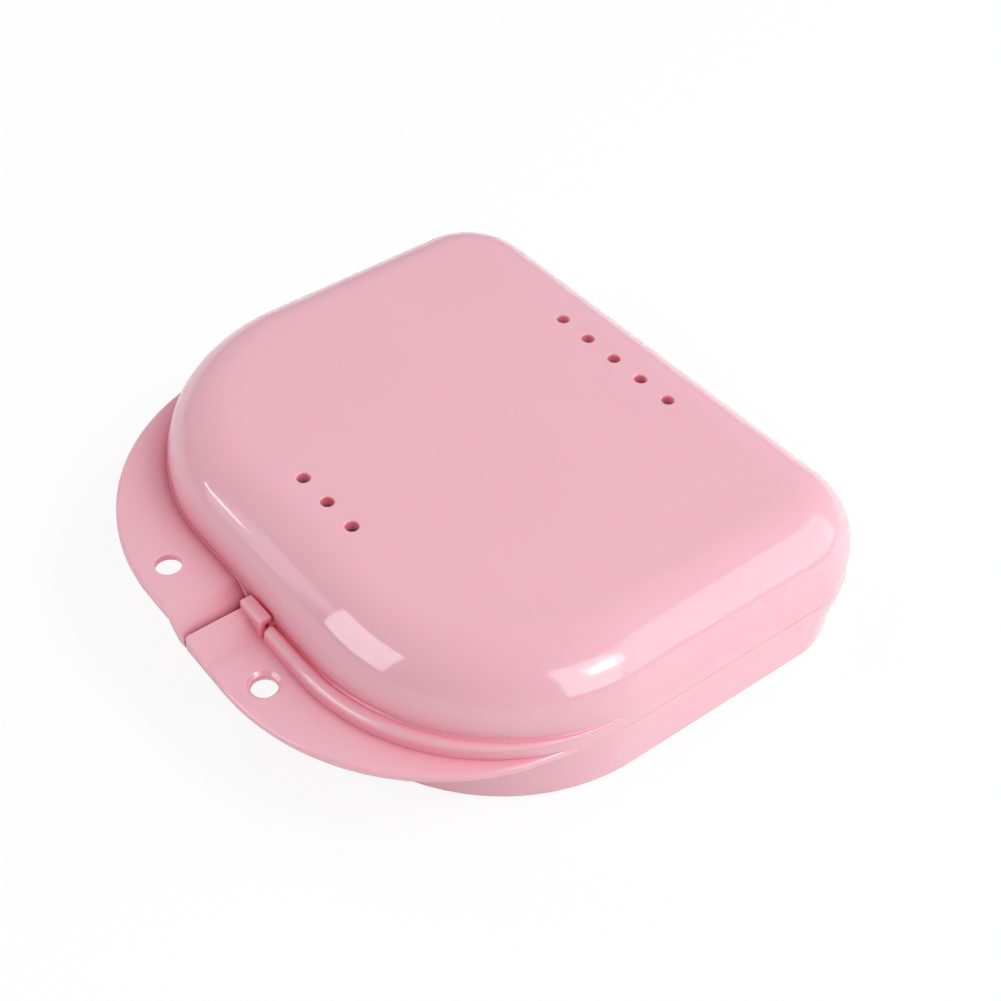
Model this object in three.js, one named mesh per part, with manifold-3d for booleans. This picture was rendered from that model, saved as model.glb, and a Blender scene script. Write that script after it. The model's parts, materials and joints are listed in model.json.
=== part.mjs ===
// Denture case: a tray and a lid, each moulded in one piece, on two snap hinges at the back.
// Millimetres, +Z up, +X to the right, -Y to the front where the case opens.
// The origin is on the surface that the case stands on, under the middle of its body.

import * as THREE from 'three';
import { mergeVertices } from 'three/addons/utils/BufferGeometryUtils.js';
import Module from 'manifold-3d';

// Body of the case, seen from above, over the foot of the lid
const caseWidth = 80;
const frontNarrowing = 0.8;
const backReach = 32.5;
const frontReach = 33.1;
const backCornerRadius = 11;
const frontCornerRadius = 27;

// Heights: the hinges' axis is at half the height, and the parting plane a little below it
const caseHeight = 21.3;
const partingDrop = 0.65;
const seamGap = 0.3;

// Lid
const lidWall = 1.6;
const lidEdgeRadius = 8;
const lidDraft = 0.057;

// Tray
const trayWall = 1.6;
const trayInset = 0.3;
const trayDraft = 0.045;
const trayFootRadius = 0.8;
const trayFloorRadius = 3;

// Band around the rim of the tray
const bandProud = 0.25;
const bandHeight = 2;
const bandEdge = 0.25;

// Lip of the tray that locates the lid
const lipThickness = 0.65;
const lipHeight = 1.1;
const lipClearance = 0.3;

// Wings: the left half belongs to the lid, the right half to the tray
const wingReach = 9.2;
const wingSideInset = 1.3;
const wingCornerRadius = 30;
const wingThickness = 1.3;
const wingEdge = 0.3;
const wingHoleDiameter = 3.2;
const wingHoleSpacing = 20.4;
const wingHoleFromEdge = 4;
const splitGap = 0.3;

// Inner end of the lid's wing, which slopes down to the level of the tray's wing
const wingEndWidth = 2.2;
const wingEndDrop = 2.1;
const wingEndFace = 1.2;
const wingEndFoot = 1.2;
const wingEndClearance = 0.35;

// Rounded bead along the foot of the lid, on its right half, as high as the lid's wing
const beadHeight = 1.85;
const beadReach = 1.8;
const beadSideInset = 0.7;
const beadCornerRadius = 26.5;
const beadEdge = 0.85;

// Rib along the inner end of the tray's wing
const ribTopWidth = 1.9;
const ribFootWidth = 4.1;
const ribHeight = 1.35;

// Snap hook of the tray and the ledge of the lid under its nose
const hookWidth = 4.3;
const noseHeight = 1;
const noseWallGap = 0.35;
const postThickness = 0.9;
const hookEdge = 0.3;
const ledgeReach = 0.65;
const ledgeHeight = 1.25;
const latchClearance = 0.3;
const beadClearance = 0.4;

// Air holes through the top of the lid
const ventDiameter = 1.65;
const backVentCount = 5;
const backVentPitch = 5.04;
const backVentFromEdge = 10.3;
const frontVentCount = 3;
const frontVentPitch = 4.9;
const frontVentFromEdge = 10.7;

// Two hinges: a pin between two ears on the tray, and a snap clip around it on the lid
const hingeSpacing = 34;
const hingeReach = 2.1;
const pinDiameter = 1.8;
const pinClearance = 0.3;
const clipWall = 0.75;
const clipWidth = 7;
const clipOpeningShare = 0.24;
const earThickness = 2;
const earClearance = 0.35;

// How far every cut and join runs past the face that it meets
const overrun = 0.5;

// Steps along the round shapes
const frontArcSteps = 14;
const backArcSteps = 8;
const wingArcSteps = 18;
const holeSteps = 20;
const ventSteps = 16;
const clipSteps = 20;
const lidEdgeSteps = 7;
const floorEdgeSteps = 4;
const beadEdgeSteps = 3;
const smallEdgeSteps = 2;

// Places that follow from the sizes
const hingeY = backReach + hingeReach;
const hingeZ = caseHeight / 2;
const partingHeight = hingeZ - partingDrop;
const lidFoot = partingHeight + seamGap / 2;
const trayTop = partingHeight - seamGap / 2;
const halfWidth = caseWidth / 2;
const halfFront = halfWidth - frontNarrowing;
const cavityInset = trayInset + trayWall;
const lipInset = cavityInset - lipThickness;
const boreRadius = pinDiameter / 2 + pinClearance;
const clipRadius = boreRadius + clipWall;
const earRadius = hingeReach - earClearance;
const noseY = -frontReach - noseWallGap;
const ledgeY = -frontReach - ledgeReach;
const postY = ledgeY - latchClearance;
const hookFrontY = postY - postThickness;
const hookTop = lidFoot + ledgeHeight + latchClearance + noseHeight;
const wingTop = lidFoot + beadHeight;
const farSide = caseWidth;

const wasm = await Module();
wasm.setup();

// Points along an arc, both ends included, counter-clockwise from one angle to the other.
function arc(x, y, radius, from, to, steps) {
  const curve = new THREE.EllipseCurve(x, y, radius, radius, from, to, to < from);
  return curve.getPoints(steps);
}

// Plan of the body, drawn in by an even margin: two large front corners, two small back ones.
function bodyPlan(inset) {
  const front = frontCornerRadius - inset;
  const back = backCornerRadius - inset;
  const frontX = halfFront - frontCornerRadius;
  const frontY = frontCornerRadius - frontReach;
  const backX = halfWidth - backCornerRadius;
  const backY = backReach - backCornerRadius;
  const right = Math.PI / 2;
  return new THREE.Shape([
    ...arc(frontX, frontY, front, -right, 0, frontArcSteps),
    ...arc(backX, backY, back, 0, right, backArcSteps),
    ...arc(-backX, backY, back, right, 2 * right, backArcSteps),
    ...arc(-frontX, frontY, front, 2 * right, 3 * right, frontArcSteps),
  ]);
}

// Plan of a flange in front of the body: a straight front edge between two large corners.
function flangePlan(reach, sideInset, radius) {
  const x = halfFront - sideInset - radius;
  const y = radius - frontReach - reach;
  const right = Math.PI / 2;
  return new THREE.Shape([
    ...arc(x, y, radius, -right, 0, wingArcSteps),
    ...arc(-x, y, radius, 2 * right, 3 * right, wingArcSteps),
  ]);
}

// A plate from one height to another with its edges rounded inside its plan.
function plate(plan, bottom, top, edge = 0, steps = smallEdgeSteps) {
  const geometry = new THREE.ExtrudeGeometry(plan, {
    depth: top - bottom - 2 * edge,
    steps: 1,
    bevelEnabled: edge > 0,
    bevelThickness: edge,
    bevelSize: edge,
    bevelOffset: -edge,
    bevelSegments: steps,
  });
  return geometry.translate(0, 0, bottom + edge);
}

// Narrows a plate evenly with its distance from the parting plane, as draft in a mould does.
function draw(geometry, slope) {
  const place = geometry.attributes.position;
  for (let i = 0; i < place.count; i += 1) {
    const distance = Math.abs(place.getZ(i) - partingHeight);
    const scale = 1 - slope * distance / halfWidth;
    place.setXY(i, place.getX(i) * scale, place.getY(i) * scale);
  }
  return geometry;
}

// A shape drawn in Y and Z, carried along X from one place to another.
function alongX(shape, from, to) {
  const geometry = new THREE.ExtrudeGeometry(shape, { depth: to - from, bevelEnabled: false });
  const turn = new THREE.Matrix4().makeBasis(
    new THREE.Vector3(0, 1, 0),
    new THREE.Vector3(0, 0, 1),
    new THREE.Vector3(1, 0, 0),
  );
  return geometry.applyMatrix4(turn).translate(from, 0, 0);
}

// A shape drawn in X and Z, carried along Y from one place to another.
function alongY(shape, from, to) {
  const geometry = new THREE.ExtrudeGeometry(shape, { depth: to - from, bevelEnabled: false });
  return geometry.rotateX(Math.PI / 2).translate(0, to, 0);
}

// A box between two corners.
function block(low, high) {
  const size = high.map((value, i) => value - low[i]);
  const middle = high.map((value, i) => (value + low[i]) / 2);
  return new THREE.BoxGeometry(...size).translate(...middle);
}

// An upright round cutter.
function upright(x, y, diameter, bottom, top, steps) {
  const geometry = new THREE.CylinderGeometry(diameter / 2, diameter / 2, top - bottom, steps);
  return geometry.rotateX(Math.PI / 2).translate(x, y, (top + bottom) / 2);
}

// Turns a closed geometry into a solid that can be joined and cut.
function solid(geometry) {
  const bare = geometry.clone();
  bare.deleteAttribute('normal');
  bare.deleteAttribute('uv');
  const merged = mergeVertices(bare);
  return new wasm.Manifold(new wasm.Mesh({
    numProp: 3,
    vertProperties: new Float32Array(merged.attributes.position.array),
    triVerts: new Uint32Array(merged.index.array),
  }));
}

// Turns a solid into a named mesh.
function mesh(name, body, material) {
  const { vertProperties, triVerts } = body.getMesh();
  const geometry = new THREE.BufferGeometry();
  geometry.setAttribute('position', new THREE.BufferAttribute(vertProperties, 3));
  geometry.setIndex(new THREE.BufferAttribute(triVerts, 1));
  geometry.computeVertexNormals();
  const result = new THREE.Mesh(geometry, material);
  result.name = name;
  return result;
}

// A wing between two heights, reaching across the whole front of the case, with its two holes.
function wing(bottom, top) {
  const plan = flangePlan(wingReach, wingSideInset, wingCornerRadius);
  const holeY = wingHoleFromEdge - frontReach - wingReach;
  let body = solid(plate(plan, bottom, top, wingEdge));
  for (const side of [-1, 1]) {
    const x = side * wingHoleSpacing / 2;
    const hole = upright(x, holeY, wingHoleDiameter, bottom - overrun, top + overrun, holeSteps);
    body = body.subtract(solid(hole));
  }
  return body;
}

// Everything on one side of a plane across the width.
function leftOf(x) {
  return solid(block([-farSide, -farSide, -caseHeight], [x, farSide, 2 * caseHeight]));
}

function rightOf(x) {
  return solid(block([x, -farSide, -caseHeight], [farSide, farSide, 2 * caseHeight]));
}

// The part of a shape carried along Y that lies inside the plan of the wings.
function insideWings(shape, back, bottom, top) {
  const plan = flangePlan(wingReach, wingSideInset, wingCornerRadius);
  const front = -frontReach - wingReach - overrun;
  return solid(alongY(shape, front, back)).intersect(solid(plate(plan, bottom, top, wingEdge)));
}

// The inner end of the lid's wing: a strip as thick as the wing that slopes down along the split.
function lidWingEnd() {
  const end = -splitGap;
  const endTop = wingTop - wingEndDrop;
  const bottom = endTop - wingEndFace;
  const slopeStart = end - wingEndWidth;
  const section = new THREE.Shape([
    new THREE.Vector2(end, bottom),
    new THREE.Vector2(end, endTop),
    new THREE.Vector2(slopeStart, wingTop),
    new THREE.Vector2(slopeStart - wingEndFoot, wingTop),
    new THREE.Vector2(slopeStart - wingEndFoot, wingTop - wingThickness),
    new THREE.Vector2(end - wingEndFoot, bottom),
  ]);
  const strip = insideWings(section, overrun - frontReach, bottom, wingTop);
  const bandFront = -frontReach - bandProud - wingEndClearance;
  return strip.subtract(solid(block([-farSide, bandFront, 0], [0, 0, lidFoot])));
}

// The lid's half of the wing, up to the slope of its inner end.
function lidWing() {
  const half = wing(wingTop - wingThickness, wingTop);
  return half.intersect(leftOf(-splitGap - wingEndWidth)).add(lidWingEnd());
}

// The bead along the right half of the lid's foot, from the hook to where it meets the side.
function lidBead() {
  const plan = flangePlan(beadReach, beadSideInset, beadCornerRadius);
  const bead = solid(plate(plan, lidFoot, wingTop, beadEdge, beadEdgeSteps));
  return bead.intersect(rightOf(hookWidth + beadClearance));
}

// The small ledge on the lid's foot that the hook's nose reaches over.
function lidLedge() {
  const low = [0, ledgeY, lidFoot];
  const high = [hookWidth + beadClearance + overrun, -frontReach + overrun, lidFoot + ledgeHeight];
  return solid(block(low, high));
}

// A snap clip: an arm from the lid's back wall that wraps round the pin and leaves a mouth below.
function hingeClip(x) {
  const start = Math.PI + Math.asin((hingeZ - lidFoot) / boreRadius);
  const end = start - 2 * Math.PI * (1 - clipOpeningShare);
  const root = backReach - lidWall / 2;
  const shape = new THREE.Shape([
    new THREE.Vector2(root, lidFoot),
    ...arc(hingeY, hingeZ, boreRadius, start, end, clipSteps),
    ...arc(hingeY, hingeZ, clipRadius, end, Math.PI / 2, clipSteps),
    new THREE.Vector2(root, hingeZ + clipRadius),
  ]);
  return solid(alongX(shape, x - clipWidth / 2, x + clipWidth / 2));
}

// Air holes in two rows, centred on the width.
function vents() {
  const rows = [
    [backVentCount, backVentPitch, backReach - backVentFromEdge],
    [frontVentCount, frontVentPitch, frontVentFromEdge - frontReach],
  ];
  const holes = [];
  for (const [count, pitch, y] of rows) {
    for (let i = 0; i < count; i += 1) {
      const x = (i - (count - 1) / 2) * pitch;
      const bottom = caseHeight - lidWall - overrun;
      holes.push(solid(upright(x, y, ventDiameter, bottom, caseHeight + overrun, ventSteps)));
    }
  }
  return holes;
}

// Lid: a drawn shell with a large round top edge, its wing, bead, ledge, clips and air holes.
function lid(material) {
  const below = partingHeight - lidEdgeRadius - overrun;
  const outer = plate(bodyPlan(0), below, caseHeight, lidEdgeRadius, lidEdgeSteps);
  const innerEdge = lidEdgeRadius - lidWall;
  const inner = plate(bodyPlan(lidWall), below, caseHeight - lidWall, innerEdge, lidEdgeSteps);
  const rabbetTop = trayTop + lipHeight + seamGap;
  const rabbet = plate(bodyPlan(lipInset - lipClearance), below, rabbetTop);
  const foot = solid(block([-farSide, -farSide, -caseHeight], [farSide, farSide, lidFoot]));
  let body = solid(draw(outer, lidDraft)).subtract(foot);
  body = body.add(lidWing()).add(lidBead()).add(lidLedge());
  for (const side of [-1, 1]) {
    body = body.add(hingeClip(side * hingeSpacing / 2));
  }
  body = body.subtract(solid(draw(inner, lidDraft))).subtract(solid(rabbet));
  for (const hole of vents()) {
    body = body.subtract(hole);
  }
  return mesh('lid', body, material);
}

// The tray's half of the wing, with the rib along its inner end.
function trayWing() {
  const bottom = trayTop - wingThickness;
  const top = trayTop + ribHeight;
  const section = new THREE.Shape([
    new THREE.Vector2(0, bottom),
    new THREE.Vector2(ribFootWidth, bottom),
    new THREE.Vector2(ribFootWidth, trayTop),
    new THREE.Vector2(ribTopWidth, top),
    new THREE.Vector2(0, top),
  ]);
  const rib = insideWings(section, hookFrontY + postThickness / 2, bottom, top);
  return wing(bottom, trayTop).intersect(rightOf(0)).add(rib);
}

// The snap hook: a post on the wing whose nose reaches over the ledge of the lid.
function snapHook() {
  const root = trayTop - wingThickness / 2;
  const shape = new THREE.Shape([
    new THREE.Vector2(hookFrontY, root),
    new THREE.Vector2(postY, root),
    new THREE.Vector2(postY, hookTop - noseHeight),
    new THREE.Vector2(noseY, hookTop - noseHeight),
    new THREE.Vector2(noseY, hookTop - hookEdge),
    new THREE.Vector2(noseY - hookEdge, hookTop),
    new THREE.Vector2(hookFrontY + hookEdge, hookTop),
    new THREE.Vector2(hookFrontY, hookTop - hookEdge),
  ]);
  return solid(alongX(shape, 0, hookWidth));
}

// One ear: a round end at the hinge axis on a foot that slopes back to the wall below.
function hingeEar(x) {
  const root = backReach - cavityInset;
  const eighth = Math.PI / 4;
  const slopeY = hingeY + earRadius * Math.cos(-eighth);
  const slopeZ = hingeZ + earRadius * Math.sin(-eighth);
  const shape = new THREE.Shape([
    new THREE.Vector2(root, slopeZ - (slopeY - root)),
    ...arc(hingeY, hingeZ, earRadius, -eighth, Math.PI, clipSteps),
    new THREE.Vector2(hingeY - earRadius, trayTop - bandEdge),
    new THREE.Vector2(root, trayTop - bandEdge),
  ]);
  return solid(alongX(shape, x - earThickness / 2, x + earThickness / 2));
}

// A hinge of the tray: two ears with the pin between them.
function trayHinge(x) {
  const offset = clipWidth / 2 + earClearance + earThickness / 2;
  const pin = new THREE.CylinderGeometry(pinDiameter / 2, pinDiameter / 2, 2 * offset, clipSteps);
  const placed = pin.rotateZ(Math.PI / 2).translate(x, hingeY, hingeZ);
  return solid(placed).add(hingeEar(x - offset)).add(hingeEar(x + offset));
}

// The room that a clip needs in the band behind it.
function clipRoom(x) {
  const half = clipWidth / 2 + earClearance;
  const low = [x - half, hingeY - clipRadius - earClearance, trayTop - bandHeight - overrun];
  return solid(block(low, [x + half, backReach + bandProud + overrun, trayTop + overrun]));
}

// Tray: a drawn bowl with its band, lip, wing, hook and the hinges' ears and pins.
function tray(material) {
  const above = partingHeight + trayFootRadius + overrun;
  const bowl = plate(bodyPlan(trayInset), 0, above, trayFootRadius, smallEdgeSteps);
  const roof = [farSide, farSide, 2 * caseHeight];
  const rim = solid(block([-farSide, -farSide, trayTop], roof));
  const cavityTop = trayTop + lipHeight + trayFloorRadius + overrun;
  const cavity = plate(bodyPlan(cavityInset), trayWall, cavityTop, trayFloorRadius, floorEdgeSteps);
  const band = plate(bodyPlan(-bandProud), trayTop - bandHeight, trayTop, bandEdge);
  const lip = plate(bodyPlan(lipInset), trayTop - lipHeight, trayTop + lipHeight);
  let body = solid(draw(bowl, trayDraft)).subtract(rim).add(solid(band));
  for (const side of [-1, 1]) {
    body = body.subtract(clipRoom(side * hingeSpacing / 2));
    body = body.add(trayHinge(side * hingeSpacing / 2));
  }
  body = body.add(trayWing()).add(snapHook()).add(solid(lip));
  body = body.subtract(solid(draw(cavity, trayDraft)));
  return mesh('tray', body, material);
}

const pinkPlastic = new THREE.MeshStandardMaterial({
  color: new THREE.Color('#e8b4c1'),
  roughness: 0.3,
  metalness: 0,
});

const dentureCase = new THREE.Group();
dentureCase.name = 'denture_case';
dentureCase.add(tray(pinkPlastic));
dentureCase.add(lid(pinkPlastic.clone()));

export default dentureCase;
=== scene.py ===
"""Denture case: the visible surfaces of its tray and lid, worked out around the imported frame.

Metres, +Z up, +X to the right, -Y to the front. Outlines and heights follow the frame's solids, with
finer rounding. The seam is drawn closed, the tray's band nearly flush, the bead with a groove beside
the hook and the left wing's sloping end wider than in the solids, as these look on a moulded case.
"""

import json
import math

import bmesh
import bpy
import numpy as np
from bpy.props import FloatProperty, FloatVectorProperty, IntProperty, PointerProperty
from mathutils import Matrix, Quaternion, Vector
from mathutils.geometry import delaunay_2d_cdt


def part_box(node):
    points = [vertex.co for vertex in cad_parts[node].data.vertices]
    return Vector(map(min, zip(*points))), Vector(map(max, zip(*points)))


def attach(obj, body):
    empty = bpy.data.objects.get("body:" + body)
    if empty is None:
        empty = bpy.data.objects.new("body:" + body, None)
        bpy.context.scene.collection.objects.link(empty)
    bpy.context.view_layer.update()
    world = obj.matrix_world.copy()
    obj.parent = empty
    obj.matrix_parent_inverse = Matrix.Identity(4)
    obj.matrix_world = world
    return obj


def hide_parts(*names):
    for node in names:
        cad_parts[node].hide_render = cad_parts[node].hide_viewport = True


bl_info = {
    "name": "Denture case",
    "version": (1, 0, 0),
    "blender": (4, 5, 0),
    "location": "3D View > Sidebar > Denture case",
    "description": "Builds the surfaces, finish and studio of a hinged denture case",
    "category": "Object",
}

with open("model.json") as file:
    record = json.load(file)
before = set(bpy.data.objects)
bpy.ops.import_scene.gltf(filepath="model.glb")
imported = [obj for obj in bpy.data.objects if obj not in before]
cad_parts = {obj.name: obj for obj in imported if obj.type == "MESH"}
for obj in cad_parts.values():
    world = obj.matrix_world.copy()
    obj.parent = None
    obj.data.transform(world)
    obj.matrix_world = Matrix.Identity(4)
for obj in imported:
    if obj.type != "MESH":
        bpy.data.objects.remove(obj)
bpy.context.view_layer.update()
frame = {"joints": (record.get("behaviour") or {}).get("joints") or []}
TRAY_LOW, TRAY_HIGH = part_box("tray")
LID_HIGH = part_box("lid")[1]
AXIS = Vector(frame["joints"][0]["pos_m"])

MM = 0.001
WELD = 0.5 * MM * MM  # points nearer than this become one
PINCH = 0.06 * MM  # short step beside a rounding
MOST_PINCH = 0.25  # the share of a run that such a step takes at most
EDGE_SHARE = 0.47  # the share of a wing's width or thickness that a rounding takes at most
SHARP_ANGLE = math.radians(42)
RIGHT_ANGLE = math.pi / 2
HOLE_STEPS = 56
VENT_STEPS = 40
WING_STEPS = 26
PLASTIC = "moulded_polypropylene"


def length(name, millimetres, about):
    """A size in the scene's own metres, written in millimetres."""
    return FloatProperty(name=name, description=about, default=millimetres * MM, precision=5,
                         unit="LENGTH", subtype="DISTANCE")


def number(name, value, about):
    """A number without a unit."""
    return FloatProperty(name=name, description=about, default=value)


def angle(name, degrees, about):
    """An angle in radians, written in degrees."""
    return FloatProperty(name=name, description=about, default=math.radians(degrees),
                         unit="ROTATION", subtype="ANGLE")


def colour(name, value, about):
    """A linear colour."""
    return FloatVectorProperty(name=name, description=about, default=value, size=3,
                               min=0, max=1, subtype="COLOR")


class BodySettings(bpy.types.PropertyGroup):
    front_narrowing: length("Front narrowing", 0.8, "How much narrower each side is at the front")
    back_reach: length("Back reach", 32.5, "From the middle to the back wall")
    front_reach: length("Front reach", 33.1, "From the middle to the front wall")
    back_corner: length("Back corner", 11, "Radius of the two back corners")
    front_corner: length("Front corner", 27, "Radius of the two front corners")
    parting_drop: length("Parting drop", 0.65, "From the hinge axis down to the parting plane")
    seam: length("Seam", 0.002, "Gap that shows between lid and tray")


class LidSettings(bpy.types.PropertyGroup):
    wall: length("Wall", 1.6, "Wall thickness")
    edge: length("Edge", 8, "Radius of the large top edge")
    draft: number("Draft", 0.057, "Narrowing with height")
    foot_edge: length("Foot edge", 0.04, "Rounding of the foot, which is sharp on the right side")
    rabbet_clearance: length("Rabbet clearance", 0.3, "Room around the tray's lip")
    vent: length("Air hole", 1.65, "Diameter of an air hole")
    vent_rim: length("Air hole rim", 0.2, "Rounding of an air hole's rim")
    back_pitch: length("Back pitch", 5.04, "Spacing of the back row of air holes")
    back_edge: length("Back row", 10.3, "From the back wall to the back row")
    front_pitch: length("Front pitch", 4.9, "Spacing of the front row of air holes")
    front_edge: length("Front row", 10.7, "From the front wall to the front row")
    back_count: IntProperty(name="Back holes", description="Air holes in the back row", default=5)
    front_count: IntProperty(name="Front holes", description="Air holes in the front row", default=3)
    bead_height: length("Bead height", 1.85, "Height of the bead over the foot of the lid")
    bead_reach: length("Bead reach", 1.8, "How far the bead stands out")
    bead_inset: length("Bead inset", 0.35, "How far inside the side walls the bead's outline ends")
    bead_corner: length("Bead corner", 26.5, "Radius of the bead's outline")
    bead_edge: length("Bead edge", 0.85, "Rounding along the bead")
    bead_end: length("Bead end", 0.55, "Rounding of the bead's inner end")
    groove: length("Groove", 0.95, "Drop of the bead at the wall by the hook")
    groove_run: length("Groove run", 22, "Length over which the groove fades")
    groove_left: number("Groove left", 0.2, "Share of the groove that stays beyond it")


class TraySettings(bpy.types.PropertyGroup):
    wall: length("Wall", 1.6, "Wall thickness")
    inset: length("Inset", 0.3, "How far the wall lies inside the lid's")
    draft: number("Draft", 0.045, "Narrowing with depth")
    foot_edge: length("Foot edge", 0.8, "Rounding around the underside")
    floor_edge: length("Floor edge", 3, "Rounding between wall and floor inside")
    band_proud: length("Band", 0.25, "How far the rim's band stands out in the frame's solid")
    band_height: length("Band height", 2, "Height of the rim's band")
    band_shown: length("Shown band", 0.02, "How far the band is drawn standing out")
    band_edge: length("Band edge", 0.03, "Rounding of the band, whose top is sharp on the right side")
    lip_edge: length("Lip edge", 0.12, "Rounding of the lip")
    lip: length("Lip", 0.65, "Thickness of the lip that locates the lid")
    lip_height: length("Lip height", 1.1, "Height of the lip over the rim")


class WingSettings(bpy.types.PropertyGroup):
    side_inset: length("Side inset", 1.3, "How far inside the side walls the outline ends")
    corner: length("Corner", 30, "Radius of the outline")
    thickness: length("Thickness", 1.3, "Thickness of both wings")
    edge: length("Edge", 0.45, "Rounding of the outer edges")
    root: length("Root", 0.3, "Rounding where a wing meets the wall")
    left_root: length("Left root", 0.12, "The same on the flat part of the left wing")
    hole: length("Strap hole", 3.2, "Diameter of a strap hole")
    left_rim: length("Left rim", 0.15, "Rounding of the left strap hole's rim")
    right_rim: length("Right rim", 0.42, "Width of the chamfer round the right strap hole")
    left_low_rim: length("Left low rim", 0.6, "Rounding under the left strap hole")
    right_low_rim: length("Right low rim", 0.2, "Rounding under the right strap hole")
    hole_spacing: length("Hole spacing", 20.4, "Between the two strap holes")
    hole_edge: length("Hole edge", 4, "From the front edge to the strap holes")
    split: length("Split", 0.3, "Gap between the two wings")
    end_edge: length("End edge", 0.22, "Rounding of both inner ends")
    slope_width: length("Slope width", 3.2, "Width of the left wing's sloping end")
    slope_drop: length("Slope drop", 2.1, "How far the left wing's end slopes down")
    slope_face: length("Slope face", 1.2, "Height of the left wing's end face")
    slope_foot: length("Slope foot", 1.2, "Width of the underside at the end face")
    rib_top: length("Rib top", 1.9, "Width of the rib's top on the right wing")
    rib_foot: length("Rib foot", 4.1, "Width of the rib's foot")
    rib_height: length("Rib height", 1.35, "Height of the rib")
    slope_fold: length("Slope fold", 0.45, "Half width of the rounding above the slope")
    fold: length("Fold", 0.06, "Half width of the roundings along the rib")


class HookSettings(bpy.types.PropertyGroup):
    width: length("Width", 4.3, "Width of the hook")
    nose: length("Nose", 1, "Height of the hook's nose")
    wall_gap: length("Wall gap", 0.12, "From the nose to the lid's wall")
    post: length("Post", 0.9, "Thickness of the hook's post")
    edge: length("Edge", 0.28, "Rounding of the hook")
    ledge_reach: length("Ledge reach", 0.65, "How far the lid's ledge stands out under the nose")
    ledge_height: length("Ledge height", 1.25, "Height of the ledge over the lid's foot")
    clearance: length("Clearance", 0.3, "Room between the hook and the lid")
    bead_clearance: length("Bead clearance", 0.4, "Room between the hook and the bead")


class HingeSettings(bpy.types.PropertyGroup):
    spacing: length("Spacing", 34, "Between the two hinges")
    pin: length("Pin", 1.8, "Diameter of a pin")
    pin_clearance: length("Pin clearance", 0.3, "Room around a pin")
    clip_wall: length("Clip wall", 0.75, "Thickness of a clip")
    clip_width: length("Clip width", 7, "Width of a clip")
    mouth_share: number("Mouth", 0.24, "Open share of a clip")
    ear: length("Ear", 2, "Thickness of an ear")
    clearance: length("Clearance", 0.35, "Room beside and before an ear")
    edge: length("Edge", 0.15, "Rounding of clips and ears")


class FinishSettings(bpy.types.PropertyGroup):
    pink: colour("Pink", (0.785, 0.455, 0.520), "Colour of the plastic")
    deep: colour("Deep pink", (0.775, 0.435, 0.500), "Colour of its faint clouds")
    # Painted shade: a deeper, redder colour mixed in where creases are closed in, standing for their shade
    # and bounced light
    crease: colour("Crease", (0.880, 0.250, 0.340), "Colour that light picks up in the creases")
    crease_reach: length("Crease reach", 6.5, "Distance within which a crease deepens")
    # Painted shade: a dark colour mixed in right inside the tight creases left of the hook
    depth: colour("Depth", (0.520, 0.070, 0.130), "Colour right inside the creases")
    depth_reach: length("Depth reach", 2, "The same for the colour inside them")
    # Painted shadow: the darkest colour, down in the split between the wings
    split: colour("Split", (0.180, 0.014, 0.026), "Colour down in the split between the wings")
    roughness: number("Roughness", 0.08, "Roughness of the plastic")
    glow: number("Glow", 0.6, "Share of light that enters the plastic")
    glow_depth: length("Glow depth", 0.6, "How deep light goes into the plastic")


class StageSettings(bpy.types.PropertyGroup):
    azimuth: angle("Azimuth", 48.02, "Camera angle round the case")
    elevation: angle("Elevation", 44.455, "Camera angle over the table")
    roll: angle("Roll", 4.09, "Camera roll")
    distance: length("Distance", 190.66, "From the camera to the point it looks at")
    lens: number("Lens", 54.12, "Focal length on a 36 mm sensor")
    look_x: length("Look X", 3.129, "Point that the camera looks at")
    look_y: length("Look Y", 1.503, "Point that the camera looks at")
    look_z: length("Look Z", 10, "Point that the camera looks at")
    floor: colour("Floor", (0.86, 0.86, 0.86), "Colour of the floor")


class DentureCase(bpy.types.PropertyGroup):
    body: PointerProperty(type=BodySettings)
    lid: PointerProperty(type=LidSettings)
    tray: PointerProperty(type=TraySettings)
    wing: PointerProperty(type=WingSettings)
    hook: PointerProperty(type=HookSettings)
    hinge: PointerProperty(type=HingeSettings)
    finish: PointerProperty(type=FinishSettings)
    stage: PointerProperty(type=StageSettings)


# Places that pieces share


class Places:
    """Heights and distances worked out from the settings and the frame."""

    def __init__(self, case):
        body, lid, tray, wing, hook = case.body, case.lid, case.tray, case.wing, case.hook
        self.top = LID_HIGH.z
        self.half_width = TRAY_HIGH.x - tray.band_proud
        self.half_front = self.half_width - body.front_narrowing
        self.parting = AXIS.z - body.parting_drop
        self.lid_foot = self.parting + body.seam / 2
        self.tray_top = self.parting - body.seam / 2
        self.front = -body.front_reach
        self.wing_reach = self.front - TRAY_LOW.y
        self.cavity = tray.inset + tray.wall
        self.lip = self.cavity - tray.lip
        self.flat_front = self.half_front - body.front_corner
        self.ledge_top = TRAY_HIGH.z - hook.nose - hook.clearance
        self.wing_top = self.ledge_top - hook.ledge_height + lid.bead_height
        self.lid_root = self.wing_top + wing.root
        self.hook_inner = self.front - hook.wall_gap
        self.post_inner = self.front - hook.ledge_reach - hook.clearance
        self.post_outer = self.post_inner - hook.post
        self.hole_y = TRAY_LOW.y + wing.hole_edge


# Surfaces


def inside(points, loop):
    """Which points lie inside a loop: a line to the right of them crosses it an odd number of times."""
    start, end = loop, np.roll(loop, -1, axis=0)
    spans = (start[:, 1] > points[:, 1:]) != (end[:, 1] > points[:, 1:])
    rise = np.where(start[:, 1] == end[:, 1], 1, end[:, 1] - start[:, 1])
    crossing = start[:, 0] + (points[:, 1:] - start[:, 1]) / rise * (end[:, 0] - start[:, 0])
    return (spans & (crossing > points[:, :1])).sum(axis=1) % 2 == 1


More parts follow.
